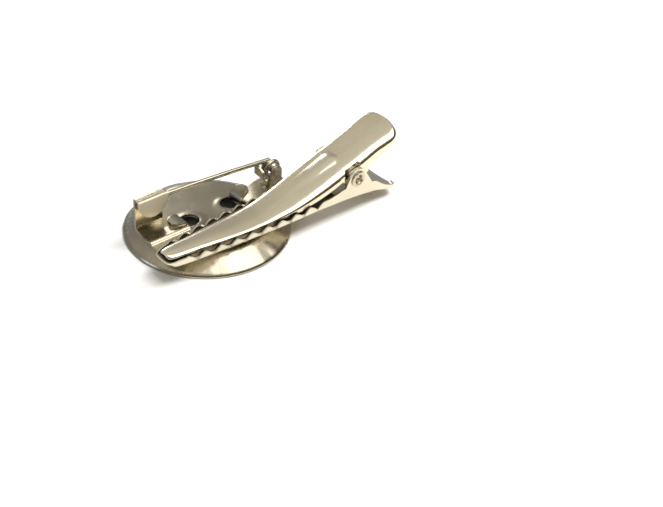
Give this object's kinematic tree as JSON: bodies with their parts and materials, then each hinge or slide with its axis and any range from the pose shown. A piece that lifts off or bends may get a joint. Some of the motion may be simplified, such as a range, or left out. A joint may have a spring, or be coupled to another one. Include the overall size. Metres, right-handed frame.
{
  "type": "clip and brooch finding",
  "caption": "Plated steel finding with a round dished tray, a toothed sprung alligator hair clip with pinch levers, and a coiled brooch pin held by a folded catch.",
  "frame": {"origin": "middle of the tray's gluing floor, the flat face inside the shallow dish", "axes": "+Z from the gluing floor through the sheet to the clip on its back; +X along the clip from its pinch levers to its toothed nose; -Y towards the brooch pin's side"},
  "size_m": [0.0455, 0.027, 0.0131],
  "materials": {
    "plated_sheet": "warm champagne-grey plating, satin with fine radial polishing lines",
    "jaw_steel": "warm champagne-grey plating, glossy, with a drawn rib and bright bends",
    "plated_wire": "plated drawn wire, glossy",
    "rivet_steel": "plated rivet with a staked, scuffed end",
    "spring_wire": "spring wire, darker and satin"
  },
  "bodies": {
    "base": {"tray": "plated_sheet", "brooch_bar": "plated_sheet", "pin_rivet": "rivet_steel", "lower_jaw": "jaw_steel", "jaw_rivet": "rivet_steel", "jaw_spring": "spring_wire"},
    "upper": {"upper_jaw": "jaw_steel"},
    "pin": {"pin_wire": "plated_wire"}
  },
  "joints": [
    {"name": "jaw_open", "type": "hinge", "parent": "base", "child": "upper", "pos_m": [-0.022, 0.007, 0.00465], "axis": [0, -1, 0], "range_deg": [0, 40], "stiffness_Nm_per_rad": 0.1, "springref_deg": -28.65, "deforming": ["jaw_spring"]},
    {"name": "pin_swing", "type": "hinge", "parent": "base", "child": "pin", "pos_m": [-0.0143, -0.00135, 0.0031], "axis": [0, -1, 0], "range_deg": [0, 95], "deforming": ["pin_wire"]}
  ]
}
